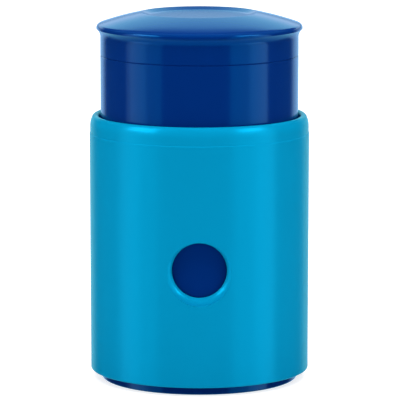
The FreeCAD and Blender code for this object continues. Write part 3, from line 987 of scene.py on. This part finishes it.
def lay_on_seat(piece):
    """Turn a piece that was made flat onto the block's sloping top."""
    make_active(piece)
    piece.rotation_euler.x = -BORE_HALF_ANGLE
    piece.location = (0, block_front + BLADE_MARGIN, blade_z)
    settle()


def make_screw_hole(radius):
    """A rod through the screw's place, square to the sloping seat."""
    deselect()
    bpy.ops.mesh.primitive_cylinder_add(
        vertices=SCREW_SIDES,
        radius=radius,
        depth=2 * SCREW_DEPTH + CUT_EXTRA,
        location=screw_place,
    )
    settle()
    hole = bpy.context.object
    lay_on_seat(hole)
    return hole


print("blade length in mm", round(blade_length / MM, 2))

# %% [markdown]
# ## The metal block
#
# The block is a cast wedge, narrower at its tail, with a conical bore for the pencil and a
# throat where the shavings leave. It could be spun from a cone, but its outside is angular. So
# we extrude its plan and then work as in a workshop: slope, bore, throat, screw hole, edges.

# %% Metal block
BLOCK_TAIL_INSET = 1.3 * MM
BLOCK_STRAIGHT = 7.0 * MM
BLOCK_EDGE = 0.15 * MM
BORE_TIP_RADIUS = 0.5 * MM
THROAT_LEFT = 3.2 * MM
THROAT_RIGHT = 0.8 * MM
THROAT_FRONT = 2.2 * MM
THROAT_TAIL = 3.0 * MM
SCREW_RADIUS = 1.25 * MM
SCREW_GAP = 0.05 * MM

blank_top = cutter_z + 2 * BORE_RADIUS
overhang = BLADE_MARGIN + BORE_RADIUS


def make_bores():
    """The pencil's path through the block: a straight lead, the cone and a fine hole at its tip."""
    cone_start = block_front + BORE_LEAD
    cone_end = cone_start + (BORE_RADIUS - BORE_TIP_RADIUS) / cone_slope
    lead_start, tip_end = block_front - CUT_EXTRA, block_tail + CUT_EXTRA
    return (
        make_rod("lead", lead_start, cone_start, cutter_z, BORE_RADIUS, BORE_RADIUS),
        make_rod("cone", cone_start, cone_end, cutter_z, BORE_RADIUS, BORE_TIP_RADIUS),
        make_rod("tip", 0, tip_end, cutter_z, BORE_TIP_RADIUS, BORE_TIP_RADIUS),
    )


def make_block():
    """A wedge with a conical bore, an open throat for shavings and a sloping seat for the blade."""
    plan = [
        (block_low.x, block_front),
        (block_high.x, block_front),
        (block_high.x, block_front + BLOCK_STRAIGHT),
        (block_high.x - BLOCK_TAIL_INSET, block_tail),
        (block_low.x + BLOCK_TAIL_INSET, block_tail),
        (block_low.x, block_front + BLOCK_STRAIGHT),
    ]
    block = extrude_outline("wedge_block", plan, block_low.z, blank_top)
    above = make_box(
        "above",
        (block_low.x - CUT_EXTRA, -overhang, 0),
        (block_high.x + CUT_EXTRA, blade_length + overhang, 4 * BORE_RADIUS),
    )
    lay_on_seat(above)
    combine(block, above, "DIFFERENCE")
    for bore in make_bores():
        combine(block, bore, "DIFFERENCE")
    throat = make_box(
        "throat",
        (-THROAT_LEFT, block_front + THROAT_FRONT, cutter_z),
        (THROAT_RIGHT, block_tail - THROAT_TAIL, blank_top),
    )
    combine(block, throat, "DIFFERENCE")
    combine(block, make_screw_hole(SCREW_RADIUS + SCREW_GAP), "DIFFERENCE")
    soften(block, BLOCK_EDGE)
    shade(block)
    return block


block = make_block()
print("block faces", len(block.data.polygons))

# %% [markdown]
# ## The blade
#
# The blade is a flat strip of steel, ground to a keen edge along one side. A scaled cube would
# be a strip, but its edge would be blunt. So we draw the ground section, extrude it along the
# blade, lay it on the seat and bore it for the screw.

# %% Blade
BLADE_WIDTH = 6.9 * MM
BLADE_THICKNESS = 0.6 * MM
BLADE_GRIND = 1.6 * MM
BLADE_EDGE = 0.05 * MM
BLADE_CORNER = 0.04 * MM


def make_blade():
    """A flat strip with one ground edge, laid on the block."""
    section = [
        (0, 0, 0),
        (BLADE_WIDTH, 0, 0),
        (BLADE_WIDTH, 0, BLADE_THICKNESS),
        (BLADE_GRIND, 0, BLADE_THICKNESS),
        (0, 0, BLADE_EDGE),
    ]
    strip = draw_loop("steel_blade", section)
    bpy.ops.mesh.edge_face_add()
    bpy.ops.mesh.extrude_region_move(TRANSFORM_OT_translate={"value": (0, blade_length, 0)})
    finish_mesh(strip)
    lay_on_seat(strip)
    combine(strip, make_screw_hole(SCREW_RADIUS + 2 * SCREW_GAP), "DIFFERENCE")
    soften(strip, BLADE_CORNER)
    shade(strip)
    return strip


blade = make_blade()

# %% [markdown]
# ## The screw
#
# One slotted screw holds the blade. Two cylinders on top of each other could stand for it, but
# its head has a rounded edge that shows. So it is turned from a profile like the large pieces,
# and a box cuts its slot. Its thread is hidden in the block and left out.

# %% Screw
HEAD_RADIUS = 2.3 * MM
HEAD_RISE = 1.1 * MM
HEAD_ROUND = 0.25 * MM
HEAD_POINTS = 6
SLOT_WIDTH = 0.6 * MM
SLOT_DEPTH = 0.55 * MM


def make_screw():
    """A slotted cheese head on a short shank."""
    head_top = BLADE_THICKNESS + HEAD_RISE
    round_centre = (HEAD_RADIUS - HEAD_ROUND, head_top - HEAD_ROUND)
    profile = (
        [(0, -SCREW_DEPTH), (SCREW_RADIUS - HEAD_ROUND, -SCREW_DEPTH)]
        + [(SCREW_RADIUS, HEAD_ROUND - SCREW_DEPTH), (SCREW_RADIUS, BLADE_THICKNESS)]
        + [(HEAD_RADIUS, BLADE_THICKNESS)]
        + arc(round_centre, HEAD_ROUND, 0, 90, HEAD_POINTS)
        + [(0, head_top)]
    )
    screw = spin_profile("slotted_screw", profile, steps=SCREW_SIDES)
    slot = make_box(
        "slot",
        (-2 * HEAD_RADIUS, -SLOT_WIDTH / 2, head_top - SLOT_DEPTH),
        (2 * HEAD_RADIUS, SLOT_WIDTH / 2, head_top + HEAD_RISE),
    )
    combine(screw, slot, "DIFFERENCE")
    screw.location = screw_place
    make_active(screw)
    settle()
    lay_on_seat(screw)
    shade(screw)
    return screw


screw = make_screw()

# %% [markdown]
# ## Tools for the finishes
#
# Three plastics share one skin and three metals share one grain, each with its own values. The
# nodes could be repeated in every material, but a shared node group is built once and mended in
# one place. Both groups give out an uneven roughness and a fine relief. The shader itself stays
# in the material, where an export can read it.

# %% Group and material tools


def new_group(name, inputs, outputs):
    """A node group with named sockets, its entry and its exit."""
    group = bpy.data.node_groups.new(name, "ShaderNodeTree")
    for in_out, sockets in (("INPUT", inputs), ("OUTPUT", outputs)):
        for socket, kind in sockets.items():
            group.interface.new_socket(socket, in_out=in_out, socket_type="NodeSocket" + kind)
    return group, group.nodes.new("NodeGroupInput"), group.nodes.new("NodeGroupOutput")


def new_noise(group, vector, detail):
    """A noise texture on given coordinates."""
    noise = new_node(group, "ShaderNodeTexNoise")
    noise.inputs["Detail"].default_value = detail
    link(group, vector, noise.inputs["Vector"])
    return noise


def uneven_gloss(group, value, entry, leave):
    """Let the roughness follow a value between the group's two limits."""
    gloss = new_node(group, "ShaderNodeMapRange")
    link(group, value, gloss.inputs["Value"])
    link(group, entry.outputs["Gloss Low"], gloss.inputs["To Min"])
    link(group, entry.outputs["Gloss High"], gloss.inputs["To Max"])
    link(group, gloss.outputs["Result"], leave.inputs["Roughness"])


def material_from_group(name, group, relief, **values):
    """A material whose roughness and fine relief come from a group with its own values."""
    material, tree, output = new_material(name)
    skin = new_node(tree, "ShaderNodeGroup", node_tree=group)
    for key, value in values.items():
        skin.inputs[key.replace("_", " ").title()].default_value = value
    bump = new_node(tree, "ShaderNodeBump")
    bump.inputs["Distance"].default_value = relief
    link(tree, skin.outputs["Height"], bump.inputs["Height"])
    shader = new_node(tree, "ShaderNodeBsdfPrincipled")
    link(tree, skin.outputs["Roughness"], shader.inputs["Roughness"])
    link(tree, bump.outputs[0], shader.inputs["Normal"])
    link(tree, shader.outputs[0], output.inputs["Surface"])
    print("finish", name)
    return material, skin, shader


# %% [markdown]
# ## Moulded skin
#
# Real mouldings are never one flat colour: the melt leaves faint flow clouds, drawn out along
# the barrel, and the skin has a very fine ripple. A painted picture could show that, but it
# would need unwrapping and would blur close up. Noise on the piece's own coordinates stays sharp
# and runs over edges without a seam.

# %% Moulded skin group
CLOUD_STRETCH = (1, 1, 0.35)
CLOUD_SCALE, CLOUD_DETAIL, CLOUD_MIDDLE = 70, 4, 0.5
RIPPLE_DETAIL = 3


def make_moulded_skin():
    """A group: faint flow clouds in the colour, uneven gloss and a fine ripple of the skin."""
    group, entry, leave = new_group(
        "moulded_skin",
        {
            "Colour": "Color",
            "Flow": "Float",
            "Gloss Low": "Float",
            "Gloss High": "Float",
            "Ripple Scale": "Float",
        },
        {"Colour": "Color", "Roughness": "Float", "Height": "Float"},
    )
    place = new_node(group, "ShaderNodeTexCoord").outputs["Object"]
    stretch = new_node(group, "ShaderNodeMapping")
    stretch.inputs["Scale"].default_value = CLOUD_STRETCH
    link(group, place, stretch.inputs["Vector"])
    clouds = new_noise(group, stretch.outputs[0], CLOUD_DETAIL)
    clouds.inputs["Scale"].default_value = CLOUD_SCALE
    centred = new_node(group, "ShaderNodeMath", operation="SUBTRACT")
    centred.inputs[1].default_value = CLOUD_MIDDLE
    link(group, clouds.outputs["Fac"], centred.inputs[0])
    shift = new_node(group, "ShaderNodeMath", operation="MULTIPLY_ADD")
    shift.inputs[2].default_value = 1.0
    link(group, centred.outputs[0], shift.inputs[0])
    link(group, entry.outputs["Flow"], shift.inputs[1])
    tint = new_node(group, "ShaderNodeVectorMath", operation="SCALE")
    link(group, entry.outputs["Colour"], tint.inputs[0])
    link(group, shift.outputs[0], tint.inputs["Scale"])
    link(group, tint.outputs[0], leave.inputs["Colour"])
    uneven_gloss(group, clouds.outputs["Fac"], entry, leave)
    ripple = new_noise(group, place, RIPPLE_DETAIL)
    link(group, entry.outputs["Ripple Scale"], ripple.inputs["Scale"])
    link(group, ripple.outputs["Fac"], leave.inputs["Height"])
    return group


moulded_skin = make_moulded_skin()
print("moulded skin nodes", len(moulded_skin.nodes))

# %% [markdown]
# ## The plastics
#
# The sleeve is a light blue with a soft sheen, the drum and lid are a deep glossy blue, and the
# cradle is the same blue with a duller skin. White gloss would grey these strong colours, but in
# the picture the bright bands stay blue. So the gloss is tinted, and the sleeve's plastic bends
# light only a little and gets a trace of pearl, a weak metallic share, to mirror in its own colour.

# %% Moulded plastic
RIPPLE_SCALE = 900.0


def make_plastic(name, colour, gloss, flow, ripple_depth, mirror_tint, bending=1.6, pearl=0.0):
    """Moulded plastic from the shared skin, with its own colour, gloss and trace of pearl."""
    material, skin, shader = material_from_group(
        name,
        moulded_skin,
        ripple_depth,
        colour=(*colour, 1),
        flow=flow,
        gloss_low=gloss[0],
        gloss_high=gloss[1],
        ripple_scale=RIPPLE_SCALE,
    )
    shader.inputs["IOR"].default_value = bending
    shader.inputs["Metallic"].default_value = pearl
    shader.inputs["Specular Tint"].default_value = (*mirror_tint, 1)
    link(material.node_tree, skin.outputs["Colour"], shader.inputs["Base Color"])
    return material


light_blue = make_plastic(
    "light_blue_plastic",
    colour=(0.001, 0.352, 0.640),
    gloss=(0.18, 0.26),
    flow=0.06,
    ripple_depth=0.001 * MM,
    mirror_tint=(0.0, 1.0, 0.0),
    bending=1.12,
    pearl=0.13,
)
dark_blue = make_plastic(
    "dark_blue_plastic",
    colour=(0.0006, 0.026, 0.190),
    gloss=(0.12, 0.18),
    flow=0.06,
    ripple_depth=0.0005 * MM,
    mirror_tint=(0.0, 0.42, 1.0),
)
cradle_plastic = make_plastic(
    "cradle_plastic",
    colour=(0.0005, 0.03, 0.2),
    gloss=(0.3, 0.4),
    flow=0.08,
    ripple_depth=0.002 * MM,
    mirror_tint=(0.2, 0.5, 1.0),
)

# %% [markdown]
# ## The metals
#
# Block, blade and screw are bare metal with the fine lines that grinding and turning leave. The
# lines could be cut as geometry, but they are finer than a hair. So a second group stretches
# noise along the direction of the work, and lets it change the roughness and a shallow relief.

# %% Metal
GRAIN_SCALE, GRAIN_DETAIL = 400, 4
GRAIN_DEPTH = 0.003 * MM


def make_ground_grain():
    """A group: fine grinding lines along one direction, as uneven gloss and relief."""
    group, entry, leave = new_group(
        "ground_grain",
        {"Grain Stretch": "Vector", "Gloss Low": "Float", "Gloss High": "Float"},
        {"Roughness": "Float", "Height": "Float"},
    )
    place = new_node(group, "ShaderNodeTexCoord").outputs["Object"]
    stretch = new_node(group, "ShaderNodeMapping")
    link(group, place, stretch.inputs["Vector"])
    link(group, entry.outputs["Grain Stretch"], stretch.inputs["Scale"])
    grain = new_noise(group, stretch.outputs[0], GRAIN_DETAIL)
    grain.inputs["Scale"].default_value = GRAIN_SCALE
    uneven_gloss(group, grain.outputs["Fac"], entry, leave)
    link(group, grain.outputs["Fac"], leave.inputs["Height"])
    return group


ground_grain = make_ground_grain()


def make_metal(name, colour, gloss, stretch):
    """Bare metal with its own colour, gloss and direction of grinding."""
    material, _, shader = material_from_group(
        name,
        ground_grain,
        GRAIN_DEPTH,
        grain_stretch=stretch,
        gloss_low=gloss[0],
        gloss_high=gloss[1],
    )
    shader.inputs["Base Color"].default_value = (*colour, 1)
    shader.inputs["Metallic"].default_value = 1.0
    return material


block_metal = make_metal("block_metal", (0.62, 0.63, 0.65), (0.3, 0.45), (1, 0.15, 1))
blade_steel = make_metal("blade_steel", (0.72, 0.73, 0.75), (0.15, 0.3), (6, 0.2, 6))
screw_steel = make_metal("screw_steel", (0.70, 0.68, 0.62), (0.2, 0.3), (1, 1, 1))

# %% [markdown]
# ## Dress the pieces
#
# Each new piece takes the place of one CAD solid. It gets its finish, rides on the body that
# carries it when the sharpener moves, hides the solid it stands for and prints its name. The
# sleeve and the lid ride on bodies of their own, and all else rides on the drum.

# %% Dress the pieces


def dress(piece, material, body, node):
    """Give a piece its finish and its body, and hide the CAD node it stands for."""
    piece.data.materials.clear()
    piece.data.materials.append(material)
    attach(piece, body)
    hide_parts(node)
    print(piece.name, "stands for", node)


dress(sleeve, light_blue, "sleeve", "outer_sleeve")
dress(cap, dark_blue, "cap", "cap")
dress(drum, dark_blue, "drum", "drum")
dress(cradle, cradle_plastic, "drum", "cutter_cradle")
dress(block, block_metal, "drum", "sharpener_block")
dress(blade, blade_steel, "drum", "blade")
dress(screw, screw_steel, "drum", "blade_screw")
